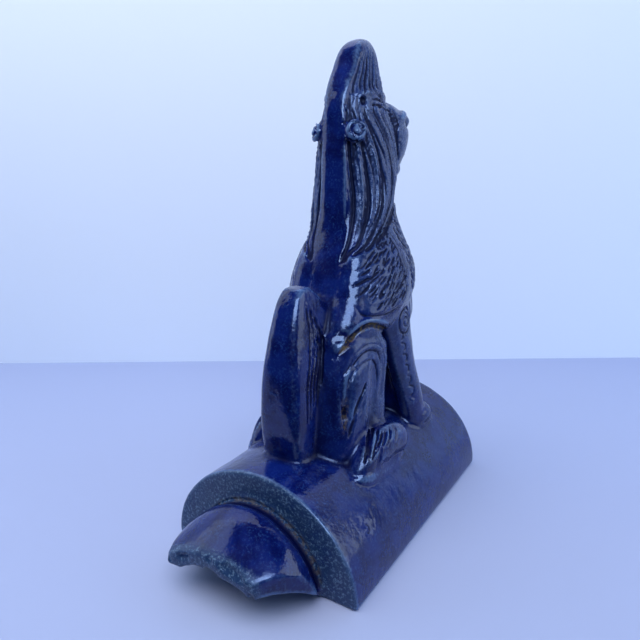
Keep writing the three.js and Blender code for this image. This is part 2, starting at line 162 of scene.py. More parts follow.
# Fields on a lattice of voxels

class Field:
    """Signed distances on a lattice, negative inside."""

    def __init__(self, points, faces):
        self.low = np.floor((points.min(0) - MARGIN) / VOXEL).astype(int)
        self.high = np.ceil((points.max(0) + MARGIN) / VOXEL).astype(int)
        self.shape = tuple(self.high - self.low + 1)
        scale = openvdb.createLinearTransform(voxelSize=VOXEL)
        skin, used = np.unique(np.round(points, 3), axis=0, return_inverse=True)
        grid = openvdb.FloatGrid.createLevelSetFromPolygons(
            skin.astype(np.float32),
            triangles=used.reshape(-1)[faces].astype(np.uint32),
            transform=scale,
            halfWidth=BAND / VOXEL,
        )
        self.value = np.zeros(self.shape, np.float32)
        grid.copyToArray(self.value, ijk=tuple(int(v) for v in self.low))

    def axes(self):
        """The coordinates of the lattice planes along x, y and z."""
        return [(np.arange(self.shape[k]) + self.low[k]) * VOXEL for k in range(3)]

    def window(self, low, high):
        """The slices of the lattice inside a box, and its points."""
        a = np.clip(np.floor(np.array(low) / VOXEL).astype(int) - self.low, 0, self.shape)
        b = np.clip(np.ceil(np.array(high) / VOXEL).astype(int) - self.low + 1, 0, self.shape)
        cut = tuple(slice(i, j) for i, j in zip(a, b))
        x, y, z = (axis[c] for axis, c in zip(self.axes(), cut))
        return cut, (x[:, None, None], y[None, :, None], z[None, None, :])

    def sample(self, points, value=None):
        """The field, or another array on its lattice, at points between the voxels."""
        value = self.value if value is None else value
        place = points / VOXEL - self.low
        place = np.clip(place, 0, np.array(self.shape) - 1.001)
        i = place.astype(int)
        f = place - i
        out = 0
        for corner in range(8):
            pick = [(corner >> k) & 1 for k in range(3)]
            share = np.prod([f[:, k] if pick[k] else 1 - f[:, k] for k in range(3)], axis=0)
            out = out + share * value[i[:, 0] + pick[0], i[:, 1] + pick[1], i[:, 2] + pick[2]]
        return out

    def gradient(self, points, step=VOXEL):
        out = np.empty_like(points)
        for k in range(3):
            d = np.zeros(3)
            d[k] = step
            out[:, k] = (self.sample(points + d) - self.sample(points - d)) / (2 * step)
        return out

    def snapped(self, points, depth=0.0):
        """Points moved along the field until they lie at a depth under the skin."""
        points = np.array(points, float)
        for _ in range(8):
            slope = self.gradient(points)
            size = np.maximum((slope ** 2).sum(1, keepdims=True), 0.05)
            points = points - (self.sample(points) + depth)[:, None] * slope / size
        return points


def blurred(value, sigma):
    """A Gaussian mean over the lattice. Sigma is in millimetres."""
    sigma = sigma / VOXEL
    reach = max(1, int(math.ceil(2.4 * sigma)))
    taps = np.exp(-0.5 * (np.arange(-reach, reach + 1) / sigma) ** 2)
    taps = (taps / taps.sum()).astype(np.float32)
    for axis in range(3):
        out = value * taps[reach]
        for k in range(1, reach + 1):
            ahead = [slice(None)] * 3
            behind = [slice(None)] * 3
            ahead[axis] = slice(k, None)
            behind[axis] = slice(None, -k)
            ahead, behind = tuple(ahead), tuple(behind)
            out[behind] += taps[reach + k] * value[ahead]
            out[ahead] += taps[reach + k] * value[behind]
            first = [slice(None)] * 3
            last = [slice(None)] * 3
            first[axis] = slice(0, k)
            last[axis] = slice(-k, None)
            out[tuple(first)] += taps[reach + k] * value[tuple(first)]
            out[tuple(last)] += taps[reach + k] * value[tuple(last)]
        value = out
    return value


# Polygons

def skin_of(field, triangles):
    """The zero surface of a field as a mesh in metres of at most so many triangles."""
    grid = openvdb.FloatGrid(background=float(BAND))
    grid.transform = openvdb.createLinearTransform(voxelSize=VOXEL)
    clipped = np.clip(field.value, -BAND, BAND)
    grid.copyFromArray(np.ascontiguousarray(clipped), ijk=tuple(int(v) for v in field.low))
    points, tris, quads = grid.convertToPolygons(isovalue=0.0, adaptivity=0.0)
    mesh = bpy.data.meshes.new(NODE + "_skin")
    faces = [q[::-1] for q in quads.tolist()] + [t[::-1] for t in tris.tolist()]
    mesh.from_pydata((points * MM).tolist(), [], faces)
    draft = bpy.data.objects.new("draft", mesh)
    bpy.context.scene.collection.objects.link(draft)
    count = 2 * len(quads) + len(tris)
    if count > triangles:
        shrink = draft.modifiers.new("shrink", "DECIMATE")
        shrink.ratio = triangles / count
    depsgraph = bpy.context.evaluated_depsgraph_get()
    out = bpy.data.meshes.new_from_object(draft.evaluated_get(depsgraph))
    bpy.data.objects.remove(draft)
    points = np.empty(3 * len(out.vertices))
    out.vertices.foreach_get("co", points)
    points = np.clip(points.reshape(-1, 3), cad_box[0], cad_box[1])
    out.vertices.foreach_set("co", points.reshape(-1))
    return out


# Carving

HANDS = (-1, 1)

# Spots along a stroke, as a share of its half width
SPLAT_STEP = 0.4
SPLAT_BATCH = 2000

# The narrowest part of a tapered end, and how blunt the taper is
TIP_LEAST = 0.12
TIP_POWER = 0.6

# How deep under the skin a stroke's middle lies, as a share of its depth
GROOVE_SINK = 0.3
RIDGE_LIFT = 0.2

# Dirt spreads past the edges of its groove
SOIL_MARGIN = 1.2


def placed(points, hand=1):
    """Points of the beast (side, ahead, up) in the frame, on its right (-1) or left (1)."""
    side, ahead, up = np.array(points, float).T
    return np.stack([hand * side, NECK_Y - ahead, TILE_RISE + up], 1)


def smooth_path(points, step):
    """Points at even steps along a smooth curve through the given ones."""
    p = np.array(points, float)
    if len(p) == 2:
        fine = p[0] + np.linspace(0, 1, 60)[:, None] * (p[1] - p[0])
    else:
        padded = np.vstack([2 * p[0] - p[1], p, 2 * p[-1] - p[-2]])
        spans = []
        for i in range(1, len(padded) - 2):
            a, b, c, d = padded[i - 1:i + 3]
            t = np.linspace(0, 1, 24, endpoint=False)[:, None]
            spans.append(0.5 * (2 * b + (c - a) * t + (2 * a - 5 * b + 4 * c - d) * t ** 2
                                + (3 * b - a - 3 * c + d) * t ** 3))
        fine = np.vstack([*spans, p[-1:]])
    run = np.r_[0, np.cumsum(np.linalg.norm(np.diff(fine, axis=0), axis=1))]
    count = max(2, int(run[-1] / step) + 1)
    at = np.linspace(0, run[-1], count)
    return np.stack([np.interp(at, run, fine[:, k]) for k in range(3)], 1)


class Carving:
    """Grooves and ridges that are laid on a field and then applied to it together."""

    def __init__(self, field):
        self.field = field
        self.cut = np.zeros(field.shape, np.float32)
        self.add = np.zeros(field.shape, np.float32)
        self.soil = np.zeros(field.shape, np.float32)

    def splat(self, target, spots, half, depth):
        """Writes a round dent at each spot, keeping the deeper where they meet."""
        reach = int(math.ceil(half.max() / VOXEL)) + 1
        steps = np.arange(-reach, reach + 1)
        cube = np.stack(np.meshgrid(steps, steps, steps, indexing="ij"), -1).reshape(-1, 3)
        centre = np.round(spots / VOXEL).astype(int)
        limit = np.array(self.field.shape)
        for i in range(0, len(spots), SPLAT_BATCH):
            batch = slice(i, i + SPLAT_BATCH)
            cell = centre[batch, None] + cube[None]
            far = np.linalg.norm(cell * VOXEL - spots[batch, None], axis=2)
            share = np.clip(1 - (far / half[batch, None]) ** 2, 0, None)
            value = depth[batch, None] * share ** 1.5
            place = cell - self.field.low
            keep = (value > 0) & (place >= 0).all(2) & (place < limit).all(2)
            flat = np.ravel_multi_index(tuple(place[keep].T), self.field.shape)
            np.maximum.at(target.reshape(-1), flat, value[keep].astype(np.float32))

    def stroke(self, points, width, depth, tips=(0.25, 0.25), raised=False, hands=HANDS, soil=0.0):
        """A groove, or a raised line, with tapered ends along points of the beast."""
        target = self.add if raised else self.cut
        for hand in hands:
            path = smooth_path(placed(points, hand), SPLAT_STEP * width / 2)
            path = self.field.snapped(path, -RIDGE_LIFT * depth if raised else GROOVE_SINK * depth)
            t = np.linspace(0, 1, len(path))
            taper = np.ones(len(path))
            if tips[0]:
                taper = np.minimum(taper, t / tips[0])
            if tips[1]:
                taper = np.minimum(taper, (1 - t) / tips[1])
            taper = np.clip(taper, TIP_LEAST, 1) ** TIP_POWER
            self.splat(target, path, width / 2 * taper, depth * taper)
            if soil:
                self.splat(self.soil, path, (width / 2 + SOIL_MARGIN) * taper, soil * taper)

    def clear_round(self, centre, radius):
        """Takes back what is cut inside a ball, for a form that stands over it."""
        for hand in HANDS:
            c = placed([centre], hand)[0]
            cut, (x, y, z) = self.field.window(c - radius, c + radius)
            inside = (x - c[0]) ** 2 + (y - c[1]) ** 2 + (z - c[2]) ** 2 < radius ** 2
            self.cut[cut][inside] = 0
            self.add[cut][inside] = 0

    def apply(self):
        """Cuts and raises the field, and clears the slate for what is laid on it next."""
        self.field.value += self.cut - self.add
        self.cut[:] = 0
        self.add[:] = 0


# The mane as in the solid: each row is [up, back, front, half width, half width of the band].
MANE = [
    [110, -4, 6, 15, 11],
    [118, 0, 20, 24, 10],
    [130, 1, 38, 27.5, 9.4],
    [143, 2, 52, 28, 8.8],
    [158, 2.5, 60, 27, 8.5],
    [174, 3, 62, 25.5, 8.3],
    [188, 3.5, 60, 23, 7.8],
    [200, 4, 58, 18.5, 7.5],
    [211, 7, 57, 15, 8.4],
    [223, 15, 54, 12.6, 8.8],
    [233, 20.5, 50.5, 10, 7.8],
    [239, 26, 46.5, 7.2, 6],
    [242, 34, 42.5, 3.8, 3.2],
]
LOCKS = 8

# The locks sway towards the face between these heights
SWAY = 0.2
SWAY_FOOT = 112
SWAY_RUN = 88

# Each lock is a wave down the neck
WAVE_ANGLE = 5.5
WAVE_PHASE = 3.4

# The middle of the rosette behind the ear, and the ball that it keeps clear
ROSETTE = (14.5, 5.5, 187.0)
ROSETTE_RADIUS = 7.5


def mane_spot(share, up):
    """The point of the mane's side at a height and at a share of the way from the band to the cheek."""
    ups = [row[0] for row in MANE]
    back, front, half, band = (np.interp(up, ups, [row[k] for row in MANE]) for k in range(1, 5))
    sway = SWAY * math.sin(min(max((up - SWAY_FOOT) / SWAY_RUN, 0), 1) * math.pi)
    first = math.acos(min(0.98, band / half))
    depth = (front - back) / (1 + math.sin(first))
    turned = share ** 1.35 + sway * math.sin(math.pi * share)
    angle = -first + (first + 0.42 * math.pi) * turned
    return half * math.cos(angle), front - depth + depth * math.sin(angle), up


def mane_line(share, top, bottom, count=9, wave=0.0, phase=0.0):
    """A line down the mane that keeps to a share of its side, but for a wave."""
    out = []
    for k in range(count):
        t = k / (count - 1)
        swing = wave * math.sin(WAVE_ANGLE * t + phase)
        out.append(mane_spot(share + swing, top + (bottom - top) * t))
    return out


def carve_mane(carving, random):
    for lock in range(LOCKS + 1):
        groove = (2 * lock + 1) / (2 * LOCKS)
        bottom = 110 + 30 * max(0, groove - 0.2)
        if groove < 1:
            phase = WAVE_PHASE + random.uniform(-0.4, 0.4)
            line = mane_line(groove, 204, bottom, 13, wave=0.018, phase=phase)
            carving.stroke(line, 2.7, 2.0, (0.2, 0.1))
            # The locks part into points at their ends
            carving.stroke(mane_line(groove, bottom + 16, bottom - 2, 5), 3.6, 2.2, (0.7, 0.1))
        # Fine lines on the lock
        for offset in (-0.55, -0.3, -0.05, 0.2, 0.45):
            share = (2 * lock + offset * 1.2) / (2 * LOCKS)
            if 0.02 < share < 0.97:
                top = (209 if share < 0.28 else 203) + random.uniform(-3, 2)
                end = 113 + 34 * max(0, share - 0.15) + random.uniform(-2, 6)
                phase = WAVE_PHASE + random.uniform(-0.9, 0.9)
                line = mane_line(share, top, end, 15, wave=random.uniform(0.015, 0.035), phase=phase)
                carving.stroke(line, 1.7, random.uniform(0.8, 1.5), (0.06, 0.15))
    # The edge of the band is a thin worn ridge
    carving.stroke(mane_line(0.0, 206, 122), 3.0, 0.45, (0.05, 0.3), raised=True)
    carving.clear_round(ROSETTE, ROSETTE_RADIUS)


def carve_crest(carving, random):
    ups = [row[0] for row in MANE]
    for k in range(11):
        share = (k + 0.2) / 10.5
        points = []
        for up in (208, 216, 224, 231, 237 - 14 * (share - 0.5) ** 2):
            side, _, _ = mane_spot(0.3, up)
            back = np.interp(up, ups, [row[1] for row in MANE])
            front = np.interp(up, ups, [row[2] for row in MANE])
            lean = 1.4 * (up - 208) / 30
            points.append((side, back + 0.4 + share * (front - back - 2) + lean, up))
        carving.stroke(points, 2.5, random.uniform(0.9, 1.4), (0.06, 0.3))
        if k % 2:
            carving.stroke([(p[0], p[1] + 1.8, p[2]) for p in points[:4]], 1.7, 0.6, (0.1, 0.3))


def spiral(centre, outward, radius, turns, start=0.0, end_radius=1.2):
    """Points of a spiral on a plane that faces outward, both as (side, ahead, up)."""
    n = np.array(outward, float)
    n /= np.linalg.norm(n)
    u = np.cross(n, (0, 0, 1))
    u /= np.linalg.norm(u)
    v = np.cross(u, n)
    out = []
    for t in np.linspace(0, 1, int(16 * turns) + 2):
        r = radius + (end_radius - radius) * t
        angle = start + 2 * math.pi * turns * t
        out.append(np.array(centre) + r * (math.cos(angle) * u + math.sin(angle) * v))
    return out


def carve_head(carving, random):
    # The rosette: a lumpy bun in a dark gap, with a small hooked curl in its upper part
    out = (0.7, -0.7, 0.05)
    side, ahead, up = ROSETTE
    carving.stroke(spiral(ROSETTE, out, 8.4, 0.85, start=0.6, end_radius=7.8), 3.2, 2.0, (0.1, 0.1))
    carving.stroke([(side, ahead, up - 3.5), (side, ahead, up + 1.5)], 10.5, 2.0, (0.3, 0.3), raised=True)
    carving.apply()
    curl = (side, ahead, up + 1.8)
    carving.stroke(spiral(curl, out, 4.6, 1.3, start=2.4, end_radius=1.4), 1.8, 1.7, (0.1, 0.1))
    carving.stroke([(side, ahead, up + 2.8), (side, ahead, up + 1.0)], 2.8, 1.0, (0.3, 0.3), raised=True)
    for turn, reach in ((0.4, 4.6), (2.7, 6.6), (3.6, 5.4), (4.4, 6.8), (5.3, 4.8)):
        near = (side, ahead + 0.5 * reach * math.cos(turn), up - 1 + 0.5 * reach * math.sin(turn))
        far = (side, ahead + reach * math.cos(turn + 0.4), up - 1 + reach * math.sin(turn + 0.4))
        carving.stroke([near, far], 1.7, 1.0, (0.4, 0.2))
    # The ear: a hollow and curved bands
    carving.stroke([(13, 14, 204.5), (14, 17, 205)], 6.5, 2.8, (0.3, 0.3))
    carving.stroke([(14, 18, 209), (15, 23, 211), (16, 31, 210), (15, 40, 207)], 2.1, 1.6)
    carving.stroke([(14, 19, 207), (16, 25, 208.5), (16, 32, 208), (15, 41, 205)], 2.0, 1.5)
    carving.stroke([(14, 21, 205), (16, 27, 206), (16, 34, 205.5), (14, 43, 203)], 2.1, 1.6)
    carving.stroke([(14, 20, 202), (16, 28, 202.5), (16, 36, 202), (14, 45, 200)], 2.4, 1.8)
    # Brow, eye and the folds behind the eye
    carving.stroke(spiral((15.5, 71.5, 196), (1, 0.35, 0), 4.6, 1.0, end_radius=4.6), 2.0, 1.2, (0, 0))
    carving.stroke([(15, 66, 192), (15, 72, 191), (13.5, 77, 192)], 1.8, 0.9)
    for k in range(5):
        up, ahead = 202 - 2.6 * k, 43.5 + 1.7 * k
        fold = [(17, ahead, up - 1), (17, ahead + 4, up + 0.5), (17, ahead + 8, up + 1.2)]
        carving.stroke(fold, 2.1, 1.7, (0.2, 0.3))
    carving.stroke([(16, 42, 203), (18, 40, 198), (19, 40, 192)], 2.2, 1.2)
    # Muzzle: mouth, lip and nostril
    mouth = [(15, 62, 165), (13, 72, 167.5), (12.5, 81, 170.5), (9, 88, 172.5)]
    carving.stroke(mouth, 2.6, 1.6, (0.3, 0.05))
    carving.stroke([(14, 64, 170), (13, 74, 173), (12.5, 82, 176)], 1.8, 0.7)
    carving.stroke([(9, 88, 189), (6.5, 91, 190)], 3.0, 1.6)
    carving.stroke([(12.5, 80, 186), (12, 85, 192), (8, 89, 196)], 2.0, 0.9)
    for k in range(3):
        carving.stroke([(11.8, 78 + 4 * k, 181 - k), (11.8, 79 + 4 * k, 180 - k)], 1.8, 0.9)


# The trunk as in the solid: each row is [up, back, front, half width].
TRUNK = [
    [66, -29, 60, 31.5],
    [74, -26, 70, 35.5],
    [84, -19, 76, 37.5],
    [95, -13, 79.5, 37.5],
    [107, -9, 78, 35],
    [119, -4, 72.5, 29.5],
    [131, 0, 67, 24.5],
    [144, 3, 64, 21.5],
]


def flank_side(ahead, up):
    """How far the trunk stands out from the middle plane."""
    ups = [row[0] for row in TRUNK]
    back, front, half = (np.interp(up, ups, [row[k] for row in TRUNK]) for k in range(1, 4))
    reach = min(0.985, abs(2 * ahead - back - front) / (front - back))
    power = 2.1 if 2 * ahead > back + front else 2.8
    return half * (1 - reach ** power) ** (1 / power)


def inside_outline(outline, x, y):
    """Whether a point is inside a closed outline: a ray from it crosses the edges an odd number of times."""
    inside = False
    for (ax, ay), (bx, by) in zip(outline, outline[1:] + outline[:1]):
        if (ay > y) != (by > y) and x < ax + (y - ay) * (bx - ax) / (by - ay):
            inside = not inside
    return inside


def hatch(carving, random, outline, lean, pitch, length, width, depth):
    """Rows of tapered ticks over a patch of the flank, inside an outline of (ahead, up)."""
    run = np.array([math.sin(lean), -math.cos(lean)])
    across = np.array([run[1], -run[0]])
    corners = np.array(outline, float)
    reach = corners @ run
    spread = corners @ across
    for row, c in enumerate(np.arange(spread.min(), spread.max(), pitch)):
        r = reach.min() + (row % 3) * 0.37 * length
        while r < reach.max():
            start = run * (r + random.uniform(-1.5, 1.5)) + across * (c + random.uniform(-0.4, 0.4))
            turn = random.uniform(-0.2, 0.2)
            size = length * random.uniform(0.6, 1.2)
            way = run * math.cos(turn) + across * math.sin(turn)
            bend = across * random.uniform(-0.7, 0.7)
            inner = start + way * size * 0.7
            if inside_outline(outline, *start) and inside_outline(outline, *inner):
                line = [start, start + way * size / 2 + bend, start + way * size]
                deep = depth * random.uniform(0.7, 1.2)
                carving.stroke([(flank_side(a, u), a, u) for a, u in line], width, deep, (0.2, 0.45))
            r += length * 0.8


def carve_back(carving, random):
    # The flat back turns into the flank at a blunt corner
    corner = [(17, 0, 118), (18, -5, 108), (19, -10, 98), (20, -14, 88), (21, -19, 78), (23, -24, 66)]
    carving.stroke(corner, 20, 1.8, (0.2, 0.2), raised=True)


def carve_chest(carving, random):
    # Behind the seam the ticks run back and down, ahead of it forward and down
    behind = [
        (-12, 87), (-8, 101), (-3, 112), (8, 118), (18, 128),
        (29, 136), (32, 118), (36, 106), (36, 85), (5, 81),
    ]
    hatch(carving, random, behind, -0.95, 2.0, 11, 2.0, 1.8)
    ahead = [(33, 136), (45, 143), (62, 134), (74, 114), (78, 95), (66, 82), (38, 85), (39, 104), (35, 118)]
    hatch(carving, random, ahead, 0.55, 2.3, 8, 2.0, 1.6)
    # The seam
    carving.stroke([(27, 20, 131), (31, 29, 118), (36, 30, 106), (37, 31, 93), (36, 28, 84)], 2.4, 1.2)
    carving.stroke([(27, 24, 132), (31, 33, 119), (36, 34, 106), (37, 35, 93)], 2.0, 0.9)
    # Cuts down the middle of the breast
    for k in range(7):
        up = 124 - 6 * k
        carving.stroke([(3, 76, up + 1), (5.5, 77, up - 5)], 2.0, 1.0)
    # The edge of the shaggy part over the smooth flank
    carving.stroke([(20, -12, 89), (28, -11, 81), (33, 0, 79), (35, 14, 79), (37, 30, 82)], 2.4, 0.9)


def carve_hind(carving, random):
    # A soft shoulder between tail and knee
    carving.stroke([(15, -28, 67), (19, -26, 66), (23, -25, 62)], 15, 2.0, (0.3, 0.3), raised=True)
    carving.apply()
    # The flap of hide over the knee
    crevice = [
        (21, -29, 58), (23, -26, 62), (25, -19, 68), (28, -14, 72), (32, -7, 74), (32, 6, 70), (30, 20, 64),
    ]
    carving.stroke(crevice, 4.2, 2.2, (0.15, 0.2), soil=1.0)
    edge = [(24, -23, 68), (27, -16, 74.5), (31, -9, 77), (33, 4, 75), (32, 17, 70)]
    carving.stroke(edge, 3.4, 0.8, (0.3, 0.3), raised=True)
    # Three fine grooves in the shape of an arch over knee and shin, the middle one in the solid
    carving.stroke([(27, -30, 24), (27, -28, 44), (30, -21, 54)], 4.5, 1.3, (0.3, 0.3), raised=True)
    carving.apply()
    outer = [
        (25, -29, 34), (26, -26, 49), (28, -19, 59), (31, -8, 62), (33, 4, 58), (34, 9, 48), (34, 8, 34),
    ]
    middle = [
        (27, -29, 34), (28, -25, 48), (30, -18, 56), (32, -8, 58.5), (33, 2, 54), (34, 5, 44), (34, 5, 32),
    ]
    inner = [
        (28, -26, 38), (29, -22, 48), (31, -17, 52), (33, -9, 53), (33, -2, 49), (33, 0, 40), (33, -1, 30),
    ]
    carving.stroke(outer, 1.8, 0.8)
    carving.stroke(middle, 1.8, 0.7)
    carving.stroke(inner, 2.0, 1.1)
    # The hollow between thigh and shin
    for points, width, depth in (
        ([(33, -14, 41), (33, -18, 34), (32, -23, 28)], 3.6, 2.4),
        ([(33, -17, 36), (32, -22, 28), (31, -27, 19)], 5.5, 2.6),
        ([(32, -23, 24), (31, -28, 15), (31, -31, 8)], 4.5, 1.6),
    ):
        carving.stroke(points, width, depth, (0.35, 0.4))
    carving.stroke([(27, -29, 36), (28, -31, 24), (29, -33, 12)], 4.0, 1.0, soil=0.7)
    # The paw runs into the tile along its outer edge
    sole = [(38, -39, -12), (42, -33, -13), (45, -21, -15), (46, -8, -16), (46, 5, -16), (45, 18, -15)]
    carving.stroke(sole, 10, 2.2, (0.2, 0.2), raised=True)
    carving.apply()
    # Toes
    for points, depth in (
        ([(33, -8, 11), (38, -20, 5), (41, -27, 1), (42, -34, -8)], 3.0),
        ([(35, -7, 10), (39, -17, 6), (42, -25, 2), (44, -29, -5)], 2.4),
        ([(39, -8, 9), (42, -17, 4), (44, -25, -2), (45, -28, -6)], 2.8),
        ([(42, -8, 8), (44, -16, 3), (45, -23, -1)], 2.4),
        ([(43, -5, 8), (45, -11, 4), (46, -17, 0)], 2.0),
        ([(43, -1, 7), (46, -6, 4), (47, -12, 0)], 1.8),
        ([(43, 4, 7), (46, 2, 3), (47, -3, -1)], 1.1),
    ):
        carving.stroke(points, 2.7, depth, (0.15, 0.3))


def carve_tail(carving, random):
    # Combed lines down the side, with a finer one between each two
    lines = (
        [(9, -42, 93), (10.5, -41, 77), (12, -44, 60), (14, -49, 40), (15, -50, 18)],
        [(9, -39, 91), (11, -37, 76), (12, -39, 60), (14, -45, 42), (15, -47, 22)],
        [(9, -36, 86), (11, -33, 74), (12, -35, 60), (14, -41, 44), (15, -44, 26)],
        [(10, -33, 80), (12, -30, 68), (13, -33, 55), (14, -38, 42), (15, -41, 28)],
        [(11, -30, 72), (12.5, -28, 62), (13.5, -32, 50), (14.5, -36, 40)],
    )
    for k, line in enumerate(lines):
        carving.stroke(line, 2.6, 1.3, (0.1, 0.25))
        if k:
            near = [tuple((np.array(a) + np.array(b)) / 2) for a, b in zip(line, lines[k - 1])]
            carving.stroke(near, 1.8, 0.6, (0.15, 0.3))


def carve_forelegs(carving, random):
    # The curl at the elbow
    curl = (35, 36, 68)
    out = (1, -0.35, 0)
    carving.stroke(spiral(curl, out, 8.6, 1.0, end_radius=8.6), 2.4, 1.2, (0, 0))
    carving.stroke(spiral(curl, out, 5.6, 1.5, start=1.0), 2.0, 1.2, (0.05, 0.1))
    # A chain of hooked locks down the rear edge
    for k in range(6):
        share = k / 5
        side, ahead, up = 34 + 2 * share, 28 + 14 * share, 58 - 42 * share
        hook = [
            (side, ahead - 1, up + 4),
            (side, ahead + 4.5, up + 2.5),
            (side, ahead + 5, up - 1.5),
            (side, ahead + 1, up - 3),
        ]
        carving.stroke(hook, 2.0, 1.2, (0.15, 0.35))
    # Toes
    for k in range(3):
        side = 30 + 4 * k
        carving.stroke([(side, 74, -3), (side, 79, -9), (side, 79, -15)], 2.4, 1.4, (0.4, 0.2))


def carve_tile(carving, random):
    # A small hooked scar in the flank
    carving.stroke([(53, -54, -27), (55, -51, -30), (57, -53, -32), (55, -56, -31)], 1.8, 0.9, hands=(-1,))
    carving.stroke([(54, -55, -24), (52, -58, -27)], 1.4, 0.5, hands=(-1,))


def round_tongue(out, radius):
    """Points on an arch round the root of the tongue, from one foot to the other."""
    angles = np.radians(np.linspace(5, 175, 24))
    ahead = NECK_Y - SHOULDER_Y - out
    return [(radius * math.cos(a), ahead, radius * math.sin(a) - TILE_RISE) for a in angles]


def carve_tongue(carving, random):
    # A crack and a hollow neck where the tongue leaves the ring
    carving.stroke(round_tongue(4.5, 44.5), 9, 1.3, (0.1, 0.1), hands=(1,))
    carving.stroke(round_tongue(0.3, 43.5), 2.4, 1.5, (0.1, 0.1), hands=(1,), soil=0.5)
    # Chips along the lip. Sides are negative on the beast's left.
    for points, width, depth in (
        ([(4, -121, -31), (13, -121, -32), (22, -121, -36)], 7, 2.4),
        ([(-26, -120, -38), (-16, -121, -35)], 5, 1.6),
        ([(-4, -121, -31), (0, -121, -30.5)], 4, 1.4),
        ([(24, -120, -40), (26, -118, -44)], 4, 1.6),
        ([(-8, -119, -42), (4, -119, -43)], 5, 1.6),
        ([(-30, -118, -42), (-31, -116, -40)], 4, 1.2),
    ):
        carving.stroke(points, width, depth, (0.3, 0.3), hands=(-1,))


# The form as a whole

def fill_creases(field):
    """The glaze has run into the creases and rounds them."""
    np.minimum(field.value, blurred(field.value, GLAZE_BLUR) + GLAZE_DEPTH, out=field.value)


def spline_weights(f):
    """Six times the weights of four neighbours, at a share f of the way between the inner two."""
    return (1 - f) ** 3, 3 * f ** 3 - 6 * f ** 2 + 4, -3 * f ** 3 + 3 * f ** 2 + 3 * f + 1, f ** 3


def noise(field, random, pitch, height):
    """Smooth random lumps of a pitch and height over the lattice."""
    size = [int(n * VOXEL / pitch) + 4 for n in field.shape]
    out = random.uniform(-height, height, size).astype(np.float32)
    for axis, n in enumerate(field.shape):
        at = np.arange(n) * VOXEL / pitch + 1
        i = at.astype(int)
        f = at - i
        table = np.zeros((n, size[axis]), np.float32)
        for k, w in enumerate(spline_weights(f)):
            table[np.arange(n), i - 1 + k] = w / 6
        out = np.moveaxis(np.tensordot(table, out, (1, axis)), 0, axis)
    return out


def smooth(value, low, high):
    """A smooth step from 0 at low to 1 at high."""
    t = np.clip((value - low) / (high - low), 0, 1)
    return t * t * (3 - 2 * t)


def roughen(field, random):
    """Lumps of a few sizes. The beds stay flat, and the bare ends of the clay are the roughest."""
    _, y, z = field.axes()
    above = smooth(z, 0.5, 5)[None, None, :]
    lumps = noise(field, random, 16, 0.55) + noise(field, random, 6, 0.22) + noise(field, random, 2.8, 0.1)
    field.value += lumps * above
    ring = smooth(y, SHOULDER_Y - 3, SHOULDER_Y - 1) * smooth(y, SHOULDER_Y + 2, SHOULDER_Y + 0.5)
    lip = smooth(y, TONGUE_END_Y - 9.5, TONGUE_END_Y - 4.5)
    bare = np.maximum(0.5 * ring, lip)[None, :, None]
    field.value += (noise(field, random, 2.6, 0.35) + noise(field, random, 8, 0.9)) * bare * above


def keep_to_box(field):
    """Cuts the form off at the faces of the box that the solid fills."""
    for k in range(3):
        at = field.axes()[k]
        beyond = np.maximum(cad_box[0][k] / MM - at, at - cad_box[1][k] / MM)
        shape = [1, 1, 1]
        shape[k] = -1
        np.maximum(field.value, beyond.reshape(shape).astype(np.float32), out=field.value)


def built():
    """The field of the finished form, and where dirt lies on the same lattice."""
    random = np.random.default_rng(SEED)
    points, faces = welded(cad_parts[NODE].data)
    normals = corner_normals(points, faces, CREASE_DEGREES)
    field = Field(*curved(points, faces, normals))
    field.value = blurred(field.value, FACET_BLUR)
    fill_creases(field)
    roughen(field, random)
    carving = Carving(field)
    for carve in (
        carve_back, carve_mane, carve_crest, carve_head, carve_chest,
        carve_hind, carve_tail, carve_forelegs, carve_tile, carve_tongue,
    ):
        carve(carving, random)
        carving.apply()
    keep_to_box(field)
    return field, carving.soil


field, soil = built()
skin = skin_of(field, TRIANGLES)
beast = bpy.data.objects.new("glazed_ridge_beast", skin)
bpy.context.scene.collection.objects.link(beast)
for polygon in skin.polygons:
    polygon.use_smooth = True


# What the glaze depends on, point by point

# Blur that leaves out the fine carving, and the height over it that counts as full
FINE_BLUR = 1.6
FINE_HEIGHT = 0.8

# The same for broad forms
BROAD_BLUR = 4.5
BROAD_HEIGHT = 2.5


def thin_glaze(points):
    """Where the glaze is thin: the ring round the tongue and the lip of the tongue."""
    y = points[:, 1]
    ring = smooth(y, SHOULDER_Y - 1.8, SHOULDER_Y - 0.3) * smooth(y, SHOULDER_Y + 2.5, SHOULDER_Y + 1.0)
    lip = smooth(y, TONGUE_END_Y - 6, TONGUE_END_Y - 3)
    return np.clip(ring + lip, 0, 1)


def dusty_glaze(points):
    """Where the glaze is dull: mane and crest most, head, chest and knees less, then the tile."""
    x, y, z = points.T
    ahead, up = NECK_Y - y, z - TILE_RISE
    side = np.abs(x)
    back = np.interp(up, [row[0] for row in MANE], [row[1] for row in MANE])
    mane = smooth(up, 108, 122) * smooth(ahead - back, 1.0, 4.0)
    head = smooth(up, 150, 180) * smooth(ahead, 30, 50)
    chest = smooth(up, 78, 86) * smooth(ahead, -16, -4) * smooth(side, 18, 23)
    knee = smooth(side, 24, 32) * smooth(up, 8, 20) * smooth(up, 80, 70)
    tile = 0.1 * smooth(up, -2, -16) * smooth(y, SHOULDER_Y, SHOULDER_Y - 1)
    return np.clip(np.max([0.7 * mane, 0.85 * head, 0.5 * chest, 0.5 * knee, tile], axis=0), 0, 1)


